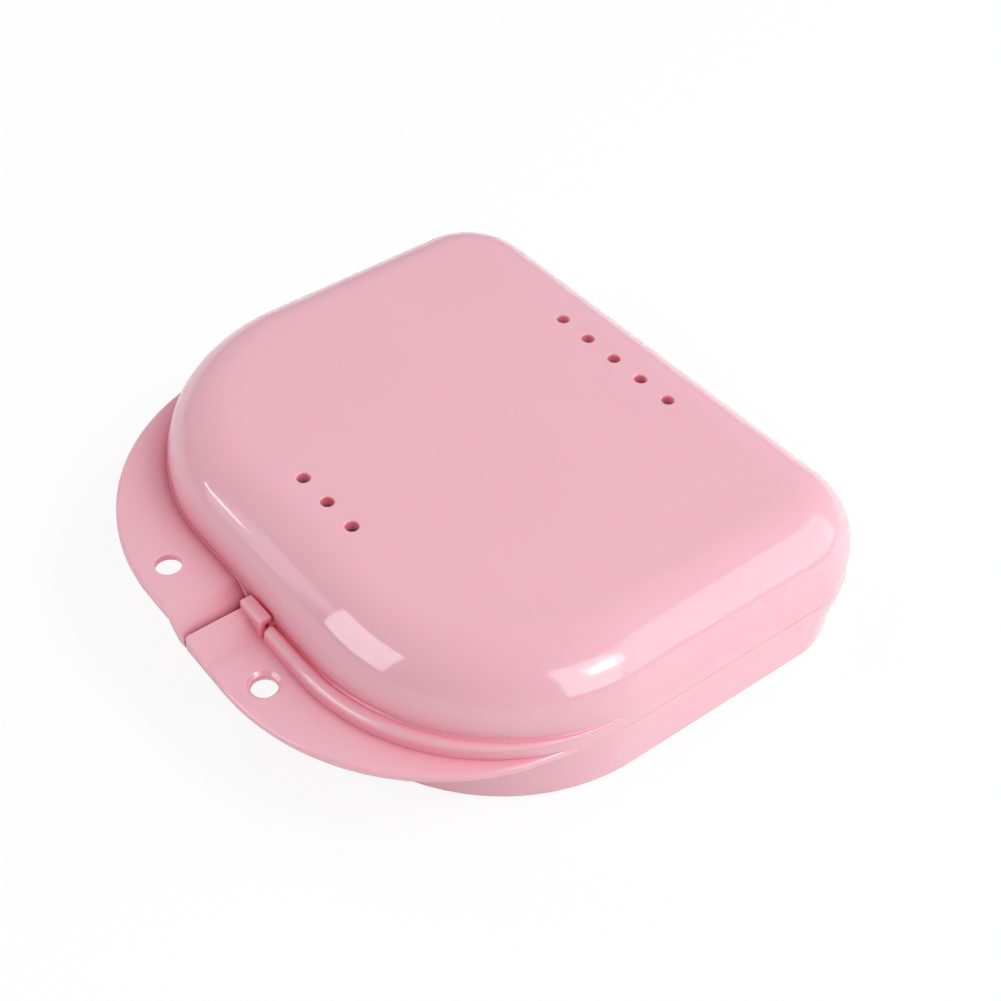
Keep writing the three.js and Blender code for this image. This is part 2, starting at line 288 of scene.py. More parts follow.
class Surface:
    """Patches of points and faces that weld into one closed mesh."""

    def __init__(self):
        self.points = []
        self.faces = []
        self.count = 0

    def add(self, points, faces):
        """Takes points of shape (n, 3) and faces that index them."""
        self.faces += [[self.count + i for i in face] for face in faces]
        self.points.append(points)
        self.count += len(points)

    def grid(self, points, closed=False, skip=None):
        """Joins points of shape (columns, rows, 3) by four-cornered faces, less the cells in skip."""
        columns, rows = points.shape[:2]
        index = np.arange(columns * rows).reshape(columns, rows)
        following = np.roll(index, -1, axis=0)
        corners = [index[:, :-1], following[:, :-1], following[:, 1:], index[:, 1:]]
        faces = np.stack(corners, axis=-1)
        wanted = np.ones(faces.shape[:2], bool) if skip is None else ~skip
        if not closed:
            wanted[-1] = False
        self.add(points.reshape(-1, 3), faces[wanted].tolist())

    def cap(self, loops, place):
        """Fills a flat outline, less the loops inside it. place turns two numbers into a point."""
        flat, edges = [], []
        for loop in loops:
            kept = np.linalg.norm(loop - np.roll(loop, 1, axis=0), axis=1) > WELD
            first = len(flat)
            flat += [tuple(p) for p in loop[kept]]
            edges += [(i, i + 1) for i in range(first, len(flat) - 1)] + [(len(flat) - 1, first)]
        vectors = [Vector(p) / MM for p in flat]
        points, _, faces, *_ = delaunay_2d_cdt(vectors, edges, [], 1, WELD)
        points = np.array(points) * MM
        middles = points[np.array(faces)].mean(axis=1)
        filled = np.ones(len(faces), bool)
        for hole in loops[1:]:
            filled &= ~inside(middles, hole)
        self.add(place(points), [face for face, keep in zip(faces, filled) if keep])

    def revolve(self, centre, radii, heights, steps):
        """Turns a line of radii and heights round an upright axis."""
        angles = np.linspace(0, 2 * np.pi, steps, endpoint=False)
        ring = np.stack([np.cos(angles), np.sin(angles)], axis=-1)
        flat = np.asarray(centre) + ring[:, None] * np.asarray(radii)[None, :, None]
        tall = np.broadcast_to(np.asarray(heights)[None, :, None], (steps, len(heights), 1))
        self.grid(np.concatenate([flat, tall], axis=-1), closed=True)

    def piece(self, name, material):
        """Welds the patches into one mesh, turns its faces outwards and checks that it is closed."""
        mesh = bpy.data.meshes.new(name)
        mesh.from_pydata(np.concatenate(self.points).tolist(), [], self.faces)
        work = bmesh.new()
        work.from_mesh(mesh)
        bmesh.ops.remove_doubles(work, verts=work.verts, dist=WELD)
        bmesh.ops.dissolve_degenerate(work, edges=work.edges, dist=WELD)
        bmesh.ops.recalc_face_normals(work, faces=work.faces)
        open_edges = sum(1 for edge in work.edges if not edge.is_manifold)
        work.to_mesh(mesh)
        work.free()
        if open_edges:
            raise RuntimeError(f"{name} is not closed: {open_edges} edges")
        mesh.shade_smooth()
        mesh.set_sharp_from_angle(angle=SHARP_ANGLE)
        mesh.materials.append(material)
        piece = bpy.data.objects.new(name, mesh)
        bpy.context.scene.collection.objects.link(piece)
        return piece


def pinched(distance, steps):
    """Shares of a distance in even steps, with a short step at each end that keeps light flat."""
    near = np.minimum(PINCH / np.maximum(distance, WELD), MOST_PINCH)
    return [near + (1 - 2 * near) * i / steps for i in range(steps + 1)] + [1]


class Profile:
    """Rows of a surface: for each column, how far out from the plan it lies and how high."""

    def __init__(self, columns):
        self.columns = columns
        self.out = []
        self.up = []

    def __len__(self):
        return len(self.out)

    def point(self, out, up):
        self.out.append(np.broadcast_to(np.asarray(out, float), (self.columns,)))
        self.up.append(np.broadcast_to(np.asarray(up, float), (self.columns,)))

    def run(self, out, up, steps=1):
        """A straight run."""
        start_out, start_up = self.out[-1], self.up[-1]
        far_out, far_up = out - start_out, up - start_up
        for share in pinched(np.hypot(far_out, far_up), steps):
            self.point(start_out + share * far_out, start_up + share * far_up)

    def swell(self, out, up, steps):
        """A level run, but where it climbs, a quarter of an ellipse that leaves upright."""
        start_out, start_up = self.out[-1], self.up[-1]
        climbs = up - start_up > WELD
        for share in pinched(np.abs(out - start_out), steps):
            along = np.where(climbs, 1 - np.cos(share * RIGHT_ANGLE), share)
            self.point(start_out + along * (out - start_out),
                       start_up + np.sin(share * RIGHT_ANGLE) * (up - start_up))

    def turn(self, out, up, steps, level_first):
        """A quarter of an ellipse that leaves level, or else upright."""
        start_out, start_up = self.out[-1], self.up[-1]
        for bend in np.linspace(0, RIGHT_ANGLE, steps + 1)[1:]:
            sine, cosine = math.sin(bend), math.cos(bend)
            if level_first:
                self.point(start_out + (out - start_out) * sine, up + (start_up - up) * cosine)
            else:
                self.point(out + (start_out - out) * cosine, start_up + (up - start_up) * sine)

    def points(self, foot, outward, scale):
        """The grid: a column's foot plus its outward direction times the distance, drawn in by scale."""
        out = np.stack(self.out, axis=1)
        up = np.stack(self.up, axis=1)
        flat = (foot[:, None] + outward[:, None] * out[..., None]) * scale(up)[..., None]
        return np.concatenate([flat, up[..., None]], axis=-1)


class Plan:
    """The body's plan as columns, each with a foot on the outline and a direction out of it.

    The corners are arcs: centre plus radius times the cosine and sine of an angle. The straight
    sides join the ends of the arcs, so a point drawn in by a margin is foot minus margin times
    direction all the way round.
    """

    def __init__(self, case, places, front_x):
        body = case.body
        back_x, back_y = places.half_width - body.back_corner, body.back_reach - body.back_corner
        front_y = body.front_corner - body.front_reach
        back, front = (body.back_corner, 32), (body.front_corner, 56)
        turns = [
            (-back_x, back_y, *back, 1),
            (-places.flat_front, front_y, *front, 2),
            (places.flat_front, front_y, *front, 3),
            (back_x, back_y, *back, 4),
        ]
        left_steps, right_steps, back_steps = 8, 24, 8
        sides = [left_steps, len(front_x), right_steps, back_steps]
        bends = []
        for x, y, radius, steps, quarter in turns:
            angles = (quarter + np.linspace(0, 1, steps + 1)) * RIGHT_ANGLE
            way = np.stack([np.cos(angles), np.sin(angles)], axis=-1)
            bends.append(np.concatenate([np.array([x, y]) + radius * way, way], axis=1))
        parts = []
        for bend, following, side in zip(bends, bends[1:] + bends[:1], sides):
            share = np.linspace(0, 1, side + 2)[1:-1, None]
            parts += [bend, bend[-1] * (1 - share) + following[0] * share]
        front_part = 3
        way = np.tile([places.front, 0, -1], (len(front_x), 1))
        parts[front_part] = np.column_stack([front_x, way])
        line = np.concatenate(parts)  # X and Y of each foot, then of its direction
        self.foot, self.outward = line[:, :2], line[:, 2:]
        self.x = self.foot[:, 0]
        self.columns = len(line)
        start = sum(len(part) for part in parts[:front_part])
        self.front = np.zeros(self.columns, bool)
        self.front[start:start + len(front_x)] = True

    def reach(self, places, scale, reach, side_inset, radius):
        """Distance from each foot to a flange's outline, along the outward direction.

        The outline is a straight front edge between two arcs. The distance to an arc is the larger
        root of the circle's equation, and nought where the foot lies outside it.
        """
        foot = self.foot * scale
        centre_x = places.half_front - side_inset - radius
        centre_y = radius + places.front - reach
        side = np.where(foot[:, 0] < 0, -1.0, 1.0)
        centre = np.stack([side * centre_x, np.full(self.columns, centre_y)], axis=-1)
        apart = foot - centre
        along = (apart * self.outward).sum(axis=1)
        size = (self.outward ** 2).sum(axis=1)
        within = radius ** 2 - (apart ** 2).sum(axis=1)
        root = (np.sqrt(np.maximum(along ** 2 + within * size, 0)) - along) / size
        straight = foot[:, 1] - (places.front - reach)
        flat = np.abs(foot[:, 0]) <= centre_x
        found = np.where(flat, straight, root)
        return np.where((within > 0) & (foot[:, 1] < centre_y), found, 0)


def ramp(distance, half):
    """Nought, then the distance itself, with a parabola of that half width between the two."""
    bent = (distance + half) ** 2 / (4 * half)
    return np.where(distance < -half, 0, np.where(distance > half, distance, bent))


def soft_step(place, start, end, half):
    """A slope from 0 to 1 between two places, softened by that half width at both folds."""
    return (ramp(place - start, half) - ramp(place - end, half)) / (end - start)


def end_inset(distance, radius):
    """How far a round end has drawn in at a distance from its face: a quarter circle."""
    near = np.clip(radius - distance, 0, radius)
    return radius - np.sqrt(radius ** 2 - near ** 2)


def round_places(face, radius, steps):
    """Places over a round end, from its face inwards, that follow a quarter circle."""
    return face + radius * (1 - np.cos(np.linspace(0, RIGHT_ANGLE, steps)))


def rim_line(radius, top_rim, low_rim, top, bottom, chamfer=False, steps=7):
    """Radii and heights down a hole with each rim rounded by a quarter circle of its own radius.

    With a chamfer, the top rim is an even slope instead, as deep as it is wide.
    """
    angles = np.linspace(0, RIGHT_ANGLE, steps)
    wide, deep = 1 - np.sin(angles), 1 - np.cos(angles)
    share = np.linspace(0, 1, steps)
    top_wide, top_deep = (1 - share, share) if chamfer else (wide, deep)
    radii = [[radius + top_rim + PINCH], radius + top_rim * top_wide,
             radius + low_rim * wide[::-1], [radius + low_rim + PINCH]]
    heights = [[top], top - top_rim * top_deep, bottom + low_rim * deep[::-1], [bottom]]
    return np.concatenate(radii), np.concatenate(heights)


def away_from_right(plan, least=0.3):
    """A share for each column: nought on the right side, and one at the back and on the left.

    Shares under the least are nought, because so small a rounding would partly weld shut.
    """
    share = 1 - np.clip(plan.outward[:, 0], 0, 1)
    return np.where(share < least, 0, share)


def circle(centre, radius, steps):
    """Points round a circle."""
    angles = np.linspace(0, 2 * np.pi, steps, endpoint=False)
    return np.asarray(centre) + radius * np.stack([np.cos(angles), np.sin(angles)], axis=-1)


def level(height):
    """Turns two numbers into a point at a height."""
    return lambda flat: np.column_stack([flat, np.full(len(flat), height)])


def across(x):
    """Turns Y and Z into a point at a place along the width."""
    return lambda flat: np.column_stack([np.full(len(flat), x), flat])


def end_face(surface, points, real, plain, first, last, draw):
    """Closes an inner end: the outline of its last column, back along the plain column.

    draw gives the place across the width at each height, as the draft leaves it.
    """
    outline = np.concatenate([points[real, first:last + 1], points[plain, last - 1:first:-1]])
    surface.cap([outline[:, 1:]], lambda flat: np.column_stack([draw(flat[:, 1]), flat]))


def strap_hole(surface, points, skip, runs, centre, radius, rims, chamfer=False):
    """Cuts a hole through a wing, between its top and its underside, each a flat run of rows.

    On each, a patch of cells comes out and is filled again round the hole's rim.
    """
    heights = []
    for (first, last), rim in zip(runs, rims):
        edge = radius + rim
        near = np.linalg.norm(points[:, first:last, :2] - centre, axis=-1) < edge + 4 * PINCH
        columns, lines = np.nonzero(near)
        left, right = columns.min() - 1, columns.max() + 1
        low, high = first + lines.min() - 1, first + lines.max() + 1
        skip[left:right, low:high] = True
        outline = np.concatenate([
            points[left:right, low],
            points[right, low:high],
            points[right:left:-1, high],
            points[left, high:low:-1],
        ])
        heights.append(points[left, low, 2])
        surface.cap([outline[:, :2], circle(centre, edge + PINCH, HOLE_STEPS)], level(heights[-1]))
    surface.revolve(centre, *rim_line(radius, *rims, *heights, chamfer), HOLE_STEPS)


def drafted(draft, places):
    """How much the plan is drawn in at a height: more with the distance from the parting plane."""
    return lambda up: 1 - draft * np.abs(up - places.parting) / places.half_width


def joined(runs):
    """Runs of places across the front, and the mark of the run that each place belongs to."""
    places_x = np.concatenate([x for _, x in runs])
    marks = np.concatenate([np.full(len(x), mark) for mark, x in runs])
    return places_x, marks


# The lid


def lid_columns(case, places):
    """Places along the straight front, and the zone of each: wing, plain, ledge or bead."""
    wing, hook, lid = case.wing, case.hook, case.lid
    flat = places.flat_front
    face = -wing.split
    bead = hook.width + hook.bead_clearance
    slope = face - wing.slope_width - 2 * wing.slope_fold
    runs = [
        ("wing", np.linspace(-flat, slope, 18)[1:-1]),
        ("wing", np.linspace(slope, face - wing.end_edge, 48)[:-1]),
        ("wing", -round_places(-face, wing.end_edge, 7)[::-1]),
        ("plain", np.array([face, 0])),
        ("ledge", np.array([0, bead / 2, bead - lid.bead_end / 4])),
        ("plain", np.array([bead - lid.bead_end / 4, bead])),
        ("bead", round_places(bead, lid.bead_end, 9)),
        ("bead", np.linspace(bead + lid.bead_end, flat, 12)[1:-1]),
    ]
    return joined(runs)


def lid_section(case, places, plan, zones, scale):
    """The outline of wing, ledge and bead at each column: reach, top, bottom and roundings."""
    wing, hook, lid = case.wing, case.hook, case.lid
    x = plan.x
    face = -wing.split
    foot = places.lid_foot
    wing_bottom = places.wing_top - wing.thickness
    end_bottom = places.wing_top - wing.slope_drop - wing.slope_face
    top_slope = ramp(x - face + wing.slope_width, wing.slope_fold) / wing.slope_width
    low_slope = soft_step(x, face - wing.slope_width, face - wing.slope_foot, wing.fold)
    inset = end_inset(face - x, wing.end_edge)
    start = end_inset(x - hook.width - hook.bead_clearance, lid.bead_end)
    low = wing_bottom - (wing_bottom - end_bottom) * low_slope + inset
    side = scale(np.maximum(low + wing.edge, places.parting))[:, None]
    wing_out = plan.reach(places, side, places.wing_reach, wing.side_inset, wing.corner)
    bead_out = plan.reach(places, scale(places.wing_top), lid.bead_reach, lid.bead_inset,
                          lid.bead_corner)
    is_wing, is_bead, is_ledge = zones == "wing", zones == "bead", zones == "ledge"
    chosen = [is_wing, is_bead, is_ledge]
    reach = np.select(chosen, [wing_out - inset, bead_out - start, hook.ledge_reach], 0)
    reach = np.maximum(reach, 0)
    top = np.select(chosen, [places.wing_top - wing.slope_drop * top_slope - inset,
                             places.wing_top - start, places.ledge_top], places.wing_top)
    bottom = np.where(is_wing, low, foot)
    room = np.minimum(reach, top - bottom) * EDGE_SHARE
    top_edge = np.minimum(np.select(chosen, [wing.edge, lid.bead_edge, wing.root], 0), room)
    low_edge = np.minimum(np.where(is_wing, wing.edge, lid.foot_edge), room)
    left_root = wing.left_root + (wing.root - wing.left_root) * np.clip(top_slope, 0, 1)
    root = np.minimum(np.where(is_wing, left_root, wing.root), reach / 2)
    low_root = np.clip(np.minimum(wing.root, bottom - foot), 0, reach / 2)
    fade = np.clip(1 - (x - hook.width) / lid.groove_run, lid.groove_left, 1)
    fade *= np.clip(reach / lid.bead_reach, 0, 1)
    groove = np.where(is_bead, np.minimum(lid.groove * fade, (top - bottom) / 2), 0)
    return reach, top, bottom, top_edge, low_edge, root, low_root, groove


def beside(zones, i):
    """The column of a wing, ledge or bead that a plain column lies against."""
    return i - 1 if zones[i - 1] != "plain" else i + 1


def lid_surface(case, places):
    """The whole lid as rows from the flat top, over the edge, down the wall, round the wing or bead,
    under the foot, up the inside and over the ceiling, with its air holes."""
    body, lid, wing = case.body, case.lid, case.wing
    front_x, front_zones = lid_columns(case, places)
    plan = Plan(case, places, front_x)
    zones = np.where(plan.x < 0, "wing", "bead").astype("<U5")
    zones[plan.front] = front_zones

    scale = drafted(lid.draft, places)
    section = lid_section(case, places, plan, zones, scale)
    reach, top, bottom, top_edge, low_edge, root, low_root, groove = section
    foot = places.lid_foot
    foot_edge = np.clip(lid.foot_edge - np.where(zones == "wing", 0, reach), 0, None)
    foot_edge *= away_from_right(plan)
    foot_edge[plan.front & (plan.x >= 0)] = 0
    wall_top = np.maximum(top - groove + root, foot + foot_edge + PINCH)
    wall_bottom = np.maximum(bottom - low_root, foot + foot_edge)
    plain = np.nonzero(zones == "plain")[0]
    for i in plain:
        other = beside(zones, i)
        wall_top[i] = top[i] = wall_top[other]
        wall_bottom[i] = bottom[i] = wall_bottom[other]
        for part in (reach, top_edge, low_edge, root, low_root, groove):
            part[i] = 0
    clear = case.tray.band_proud + case.hinge.clearance
    under = np.where(bottom < foot, clear, low_root)
    web = np.where(bottom < foot, np.minimum(foot, top - wing.root), bottom)

    rows = Profile(plan.columns)
    rows.point(-lid.edge - PINCH, places.top)
    rows.point(-lid.edge, places.top)
    rows.turn(0, places.top - lid.edge, 28, level_first=True)
    rows.run(0, places.lid_root, 5)
    rows.run(0, wall_top)
    first = len(rows) - 1
    rows.turn(root, top - groove, 6, level_first=False)
    top_run = len(rows)
    rows.swell(reach - top_edge, top, WING_STEPS)
    top_end = len(rows)
    rows.turn(reach, top - top_edge, 9, level_first=True)
    rows.run(reach, bottom + low_edge)
    rows.turn(reach - low_edge, bottom, 6, level_first=False)
    low_run = len(rows)
    rows.run(under, bottom, WING_STEPS)
    low_end = len(rows)
    rows.run(under, web)
    rows.turn(0, wall_bottom, 4, level_first=True)
    last = len(rows) - 1
    rows.run(0, foot + foot_edge)
    rows.turn(-foot_edge, foot, 3, level_first=False)
    rabbet = places.lip - lid.rabbet_clearance
    shoulder = places.tray_top + case.tray.lip_height + lid.rabbet_clearance
    rows.run(-rabbet, foot)
    rows.run(-rabbet, shoulder)
    rows.run(-lid.wall, shoulder)
    rows.run(-lid.wall, places.top - lid.edge, 2)
    rows.turn(-lid.edge, places.top - lid.wall, 20, level_first=False)
    rows.point(-lid.edge - PINCH, places.top - lid.wall)
    points = rows.points(plan.foot, plan.outward, scale)

    surface = Surface()
    skip = np.zeros((plan.columns, len(rows) - 1), bool)
    for i in plain:
        other = beside(zones, i)
        skip[min(i, other)] = True
        end_face(surface, points, other, i, first, last, lambda up, x=plan.x[i]: x * scale(up))
    centre = np.array([-wing.hole_spacing / 2, places.hole_y])
    strap_hole(surface, points, skip, ((top_run, top_end), (low_run, low_end)), centre,
               wing.hole / 2, (wing.left_rim, wing.left_low_rim))
    surface.grid(points, closed=True, skip=skip)

    holes = []
    for count, pitch, y in ((lid.back_count, lid.back_pitch, body.back_reach - lid.back_edge),
                            (lid.front_count, lid.front_pitch, lid.front_edge - body.front_reach)):
        holes += [((i - (count - 1) / 2) * pitch, y) for i in range(count)]
    burr = lid.vent_rim / 8
    for row, rim, height in ((0, lid.vent_rim, places.top), (-1, burr, places.top - lid.wall)):
        rings = [circle(hole, lid.vent / 2 + rim + PINCH, VENT_STEPS) for hole in holes]
        surface.cap([points[:, row, :2], *rings], level(height))
    line = rim_line(lid.vent / 2, lid.vent_rim, burr, places.top, places.top - lid.wall)
    for hole in holes:
        surface.revolve(hole, *line, VENT_STEPS)
    return surface


# The tray


def tray_columns(case, places):
    """Places along the straight front, and which of them carry the wing."""
    wing = case.wing
    flat = places.flat_front
    slope = wing.rib_foot + 2 * wing.fold
    notch = -wing.split - wing.slope_foot
    runs = [
        (False, np.linspace(-flat, notch, 10)[1:]),
        (False, np.array([notch + wing.split, 0])),
        (True, round_places(0, wing.end_edge, 7)),
        (True, np.linspace(wing.end_edge, slope, 34)[1:]),
        (True, np.linspace(slope, flat, 18)[1:-1]),
    ]
    return joined(runs)


def tray_surface(case, places):
    """The whole tray as rows from its underside, up the wall and band, round the wing with its rib,
    over the rim and lip, and down the inside to the floor."""
    tray, wing = case.tray, case.wing
    front_x, front_winged = tray_columns(case, places)
    plan = Plan(case, places, front_x)
    winged = plan.x > 0
    winged[plan.front] = front_winged

    scale = drafted(tray.draft, places)
    rim = places.tray_top
    x = plan.x
    notch = plan.front & (x < 0) & (x > -wing.split - wing.slope_foot)
    band = np.where(notch, 0, tray.band_shown)
    inset = np.where(winged, end_inset(x, wing.end_edge), 0)
    found = plan.reach(places, 1, places.wing_reach, wing.side_inset, wing.corner) - inset
    reach = np.where(winged & (found > band + PINCH), found, band)
    rib = wing.rib_height * (1 - soft_step(x, wing.rib_top, wing.rib_foot, wing.fold))
    wide = reach - band
    ribbed = plan.front & winged & (x < wing.rib_foot + wing.fold)
    top = np.where(ribbed, rim + rib - inset, rim)
    bottom = rim - wing.thickness + np.where(winged, inset, 0)
    low_root = np.minimum(wing.root, wide / 2)
    grown = np.clip(wide / wing.edge, 0, 1)
    rim_edge = tray.band_edge * away_from_right(plan)
    top_edge = rim_edge + (wing.edge - rim_edge) * grown
    low_edge = np.minimum(wing.edge, wide / 2)
    back = band - rim_edge
    under_post = places.front - places.post_inner + case.hook.post / 2
    drop = np.minimum(under_post, (back + reach - top_edge) / 2)

    real = int(np.nonzero(plan.front & winged)[0][0])
    plain = real - 1
    bottom[plain] = bottom[real] - low_root[real]
    band_bottom = rim - tray.band_height

    rows = Profile(plan.columns)
    rows.point(-tray.inset - tray.foot_edge - PINCH, 0)
    rows.point(-tray.inset - tray.foot_edge, 0)
    rows.turn(-tray.inset, tray.foot_edge, 10, level_first=True)
    rows.run(-tray.inset, band_bottom - tray.band_edge, 4)
    rows.turn(-tray.inset + tray.band_edge / 2, band_bottom, 3, level_first=False)
    rows.run(band - tray.band_edge, band_bottom)
    rows.turn(band, band_bottom + tray.band_edge, 4, level_first=True)
    rows.run(band, bottom - low_root)
    first = len(rows) - 1
    rows.turn(band + low_root, bottom, 4, level_first=False)
    low_run = len(rows)
    rows.run(reach - low_edge, bottom, WING_STEPS)
    low_end = len(rows)
    rows.turn(reach, bottom + low_edge, 6, level_first=True)
    rows.run(reach, top - top_edge)
    rows.turn(reach - top_edge, top, 7, level_first=False)
    top_run = len(rows)
    rows.run(drop, top, WING_STEPS)
    top_end = len(rows)
    rows.run(drop, rim)
    rows.run(back, rim)
    last = len(rows) - 1
    lip_top = rim + tray.lip_height
    rows.run(-places.lip, rim)
    rows.run(-places.lip, lip_top - tray.lip_edge)
    rows.turn(-places.lip - tray.lip_edge, lip_top, 4, level_first=False)
    rows.run(-places.cavity + tray.lip_edge, lip_top)
    rows.turn(-places.cavity, lip_top - tray.lip_edge, 4, level_first=True)
    rows.run(-places.cavity, tray.wall + tray.floor_edge, 4)
    rows.turn(-places.cavity - tray.floor_edge, tray.wall, 12, level_first=False)
    rows.point(-places.cavity - tray.floor_edge - PINCH, tray.wall)
    points = rows.points(plan.foot, plan.outward, scale)

    surface = Surface()
    skip = np.zeros((plan.columns, len(rows) - 1), bool)
    skip[plain] = True
    end_face(surface, points, real, plain, first, last, np.zeros_like)
    centre = np.array([wing.hole_spacing / 2, places.hole_y])
    strap_hole(surface, points, skip, ((top_run, top_end), (low_run, low_end)), centre,
               wing.hole / 2, (wing.right_rim, wing.right_low_rim), chamfer=True)
    surface.grid(points, closed=True, skip=skip)
    surface.cap([points[:, 0, :2]], level(0))
    surface.cap([points[:, -1, :2]], level(tray.wall))
    return surface


# Hook and hinges


def arc(centre, radius, start, end, steps):
    """Points along an arc, both ends included."""
    angles = np.linspace(start, end, steps + 1)
    return np.asarray(centre) + radius * np.stack([np.cos(angles), np.sin(angles)], axis=-1)


def rounded(corners, radii, steps=6):
    """Replaces each square corner of an outline by a quarter circle of its own radius."""
    corners = np.asarray(corners, float)
    radii = np.asarray(radii)[:, None]
    before = np.roll(corners, 1, axis=0) - corners
    after = np.roll(corners, -1, axis=0) - corners
    before *= radii / np.linalg.norm(before, axis=1, keepdims=True)
    after *= radii / np.linalg.norm(after, axis=1, keepdims=True)
    angles = np.linspace(0, RIGHT_ANGLE, steps + 1)[None, :, None]
    bend = before[:, None] * (1 - np.sin(angles)) + after[:, None] * (1 - np.cos(angles))
    return (corners[:, None] + bend).reshape(-1, 2)


def drawn_in(outline, margin, sharpest=0.4):
    """An outline moved inwards by a margin, along the middle of each corner.

    The sharpest value keeps a sharp corner from moving too far.
    """
    ahead = np.roll(outline, -1, axis=0) - outline
    normal = np.stack([-ahead[:, 1], ahead[:, 0]], axis=-1)
    normal /= np.linalg.norm(normal, axis=1, keepdims=True)
    middle = normal + np.roll(normal, 1, axis=0)
    middle /= np.maximum((middle ** 2).sum(axis=1, keepdims=True), sharpest) / 2
    return outline + margin * middle


def slab(surface, outline, left, right, edge, steps=5):
    """Carries an outline in Y and Z along X, drawn in along a quarter circle at both ends.

    The outline runs counter-clockwise as seen from +X.
    """
    angles = np.linspace(0, RIGHT_ANGLE, steps)
    margins = edge * (1 - np.sin(angles))
    depths = edge * (1 - np.cos(angles))
    flat = [left + edge + PINCH, right - edge - PINCH]
    places_x = np.concatenate([left + depths, flat, right - depths[::-1]])
    insets = np.concatenate([margins, [0, 0], margins[::-1]])
    columns = [np.column_stack([np.full(len(outline), x), drawn_in(outline, inset)])
               for x, inset in zip(places_x, insets)]
    surface.grid(np.stack(columns, axis=1), closed=True)
    for x in (left, right):
        surface.cap([drawn_in(outline, edge)], across(x))


def hook_surface(case, places):
    """The snap hook: a post on the wing and a nose that reaches back over the lid's ledge."""
    hook, wing = case.hook, case.wing
    top = TRAY_HIGH.z
    root = places.tray_top - wing.thickness / 2
    edge, fold = hook.edge + PINCH, hook.edge / 3
    outline = rounded([
        (places.post_outer, root),
        (places.post_inner, root),
        (places.post_inner, top - hook.nose),
        (places.hook_inner, top - hook.nose),
        (places.hook_inner, top),
        (places.post_outer, top),
    ], [edge, edge, fold, edge, edge, edge])
    surface = Surface()
    slab(surface, outline, 0, hook.width, hook.edge)
    return surface


def at_hinges(hinge, outline, offsets, width):
    """The same slab at both hinges, at each offset from a hinge's middle."""
    surface = Surface()
    for side in (-1, 1):
        for offset in offsets:
            middle = side * hinge.spacing / 2 + offset
            slab(surface, outline, middle - width / 2, middle + width / 2, hinge.edge)
    return surface


def ear_offset(hinge):
    """From a hinge's middle to the middle of an ear."""
    return hinge.clip_width / 2 + hinge.clearance + hinge.ear / 2


def clip_surface(case, places):
    """The lid's two clips: an arm from the back wall that wraps round the pin, with a mouth below."""
    hinge, lid, body = case.hinge, case.lid, case.body
    bore = hinge.pin / 2 + hinge.pin_clearance
    outer = bore + hinge.clip_wall
    start = math.pi + math.asin((AXIS.z - places.lid_foot) / bore)
    end = start - 2 * math.pi * (1 - hinge.mouth_share)
    root = body.back_reach - lid.wall / 2
    centre = (AXIS.y, AXIS.z)
    outline = np.concatenate([
        [(root, places.lid_foot)],
        arc(centre, bore, start, end, 24),
        arc(centre, outer, end, RIGHT_ANGLE, 24),
        [(root, AXIS.z + outer)],
    ])
    return at_hinges(hinge, outline, [0], hinge.clip_width)


def ear_surface(case, places):
    """The tray's four ears, each round about the axis on a foot that slopes back to the wall."""
    hinge, tray, body = case.hinge, case.tray, case.body
    radius = AXIS.y - body.back_reach - hinge.clearance
    root = body.back_reach - places.cavity
    eighth = math.pi / 4
    low = (AXIS.y + radius * math.cos(eighth), AXIS.z - radius * math.sin(eighth))
    outline = np.concatenate([
        [(root, low[1] - (low[0] - root))],
        arc((AXIS.y, AXIS.z), radius, -eighth, math.pi, 32),
        [(AXIS.y - radius, places.tray_top - tray.band_edge), (root, places.tray_top - tray.band_edge)],
    ])
    offset = ear_offset(hinge)
    return at_hinges(hinge, outline, [-offset, offset], hinge.ear)


def pin_surface(case, places):
    """The two pins between the tray's ears."""
    hinge = case.hinge
    outline = circle((AXIS.y, AXIS.z), hinge.pin / 2, 40)
    return at_hinges(hinge, outline, [0], 2 * ear_offset(hinge))


# Finish

# Where the painted crease shade fades out, from the first value to the second: heights and places across
BELOW_RIM = (9.8 * MM, 8.8 * MM)
ABOVE_WING = (12 * MM, 14 * MM)
RIGHT_OF_SPLIT = (-0.5 * MM, 0.3 * MM)
# Where the dark painted shade turns into the split's painted shadow
BESIDE_SPLIT = (-1.9 * MM, -0.9 * MM)
# The open shares from which a painted shade colour is full to which it is gone
CREASE_SHADE_OPEN = (0.3, 0.92)
DEPTH_SHADE_OPEN = (0.45, 0.85)


class Value:
    """A number in a shader. Python's operators add the Math nodes."""

    def __init__(self, graph, socket):
        self.graph = graph
        self.socket = socket

    def math(self, operation, *values):
        return self.graph.node("ShaderNodeMath", {"operation": operation}, dict(enumerate(values)))

    def __add__(self, other):
        return self.math("ADD", self, other)

    __radd__ = __add__

    def __sub__(self, other):
        return self.math("SUBTRACT", self, other)

    def __rsub__(self, other):
        return self.math("SUBTRACT", other, self)

    def __mul__(self, other):
        return self.math("MULTIPLY", self, other)

    __rmul__ = __mul__

    def either(self, other):
        """For two shares: nought where both are nought, and one where one of them is one."""
        return self + other - self * other


